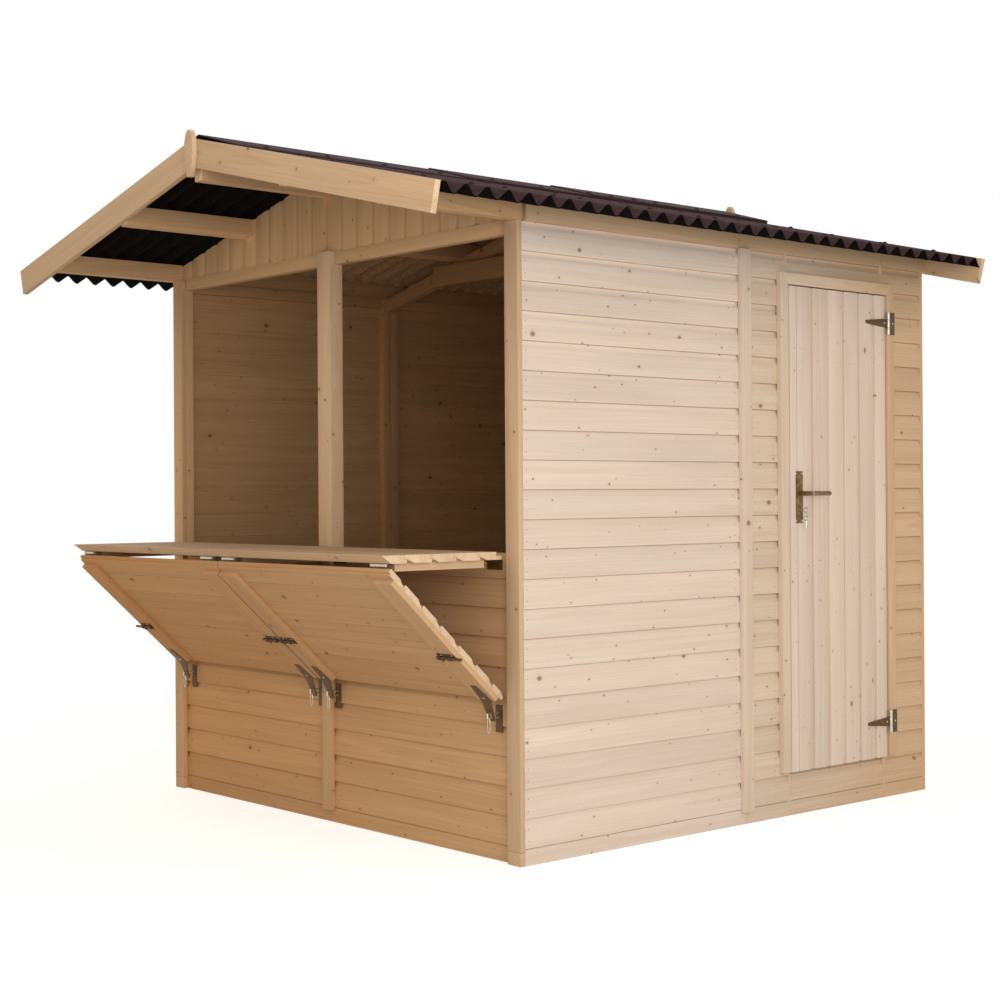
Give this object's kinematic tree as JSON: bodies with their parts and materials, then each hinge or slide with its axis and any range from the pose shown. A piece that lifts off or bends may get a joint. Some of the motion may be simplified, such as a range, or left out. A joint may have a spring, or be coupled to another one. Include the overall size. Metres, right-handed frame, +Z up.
{
  "type": "market stall",
  "caption": "Boarded wooden market stall: serving hatch whose folding shutters make a propped counter, hinged side door and a corrugated saddle roof with a front canopy.",
  "frame": {"origin": "on the ground, under the middle of the roof's outline", "axes": "+Z up, the serving hatch faces -Y, the door is in the +X wall"},
  "size_m": [2.492, 2.634, 2.3243],
  "materials": {
    "pine": "planed",
    "roof_sheet": "matte",
    "bronzed_steel": "satin",
    "aged_brass": "satin"
  },
  "bodies": {
    "stall": {"front_cladding": "pine", "front_posts": "pine", "front_rails": "pine", "front_gable": "pine", "right_wall_front": "pine", "right_wall_latch_side": "pine", "right_wall_over_door": "pine", "right_wall_under_door": "pine", "right_wall_hinge_side": "pine", "right_wall_frame": "pine", "left_wall": "pine", "left_wall_frame": "pine", "rear_wall": "pine", "rear_wall_frame": "pine", "rear_gable": "pine", "corner_boards": "pine", "cover_strips": "pine", "casing_latch_side": "pine", "casing_head": "pine", "casing_hinge_side": "pine", "ridge_purlin": "pine", "middle_purlins": "pine", "side_beams": "pine", "canopy_beams": "pine", "rafters": "pine", "collar_tie": "pine", "front_bargeboards": "pine", "rear_bargeboards": "pine", "finials": "pine", "counter_leaf_left": "pine", "counter_leaf_right": "pine", "prop_leaf_left": "pine", "prop_leaf_right": "pine", "roof_sheet_left": "roof_sheet", "roof_sheet_right": "roof_sheet", "ridge_cap": "roof_sheet", "counter_hinges": "bronzed_steel", "hatch_hasps": "bronzed_steel", "shutter_bolts": "bronzed_steel", "hinge_plates": "bronzed_steel"},
    "door": {"door_leaf": "pine", "door_ledges": "pine", "hinge_straps": "bronzed_steel", "lock_plates": "aged_brass"},
    "lever": {"door_lever": "aged_brass"}
  },
  "joints": [
    {"name": "door_hinge", "type": "hinge", "parent": "stall", "child": "door", "pos_m": [1.027, 1.0065, 1], "axis": [0, 0, 1], "range_deg": [0, 170]},
    {"name": "lever_turn", "type": "hinge", "parent": "door", "child": "lever", "pos_m": [1.03, 0.499, 1.11593], "axis": [-1, 0, 0], "range_deg": [0, 35], "stiffness_Nm_per_rad": 1, "springref_deg": -28.65}
  ]
}
